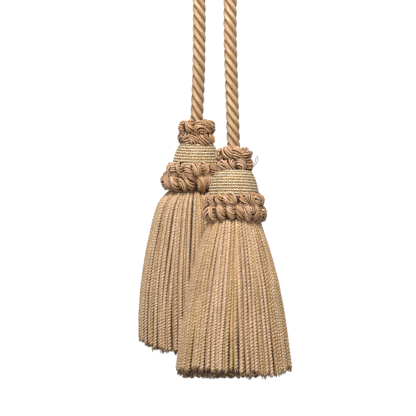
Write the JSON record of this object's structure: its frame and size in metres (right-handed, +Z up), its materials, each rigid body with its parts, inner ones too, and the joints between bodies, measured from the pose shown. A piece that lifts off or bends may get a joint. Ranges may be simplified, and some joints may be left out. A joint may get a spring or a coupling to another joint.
{
  "type": "chair tassel",
  "caption": "Decorative tassel tie: a short twisted cord doubled into a hanging loop, with a wound head, looped ruffs and a full cut skirt on each end.",
  "frame": {"origin": "inside of the crown of the cord's hanging loop, where a chair's finial holds it", "axes": "+Z up along the hang, +X to the right seen from the front, -Y towards the viewer; the right tassel is in front"},
  "size_m": [0.0925, 0.1253, 0.2541],
  "materials": {
    "cord": "plied satin yarn",
    "ruff": "soft looped yarn",
    "head": "wound thread in pale and ochre rows",
    "skirt": "twisted yarn with a soft sheen"
  },
  "bodies": {
    "root": {"cord": "cord", "left_upper_ruff": "ruff", "left_head": "head", "left_lower_ruff": "ruff", "left_skirt": "skirt", "right_upper_ruff": "ruff", "right_head": "head", "right_lower_ruff": "ruff", "right_skirt": "skirt"}
  },
  "joints": []
}
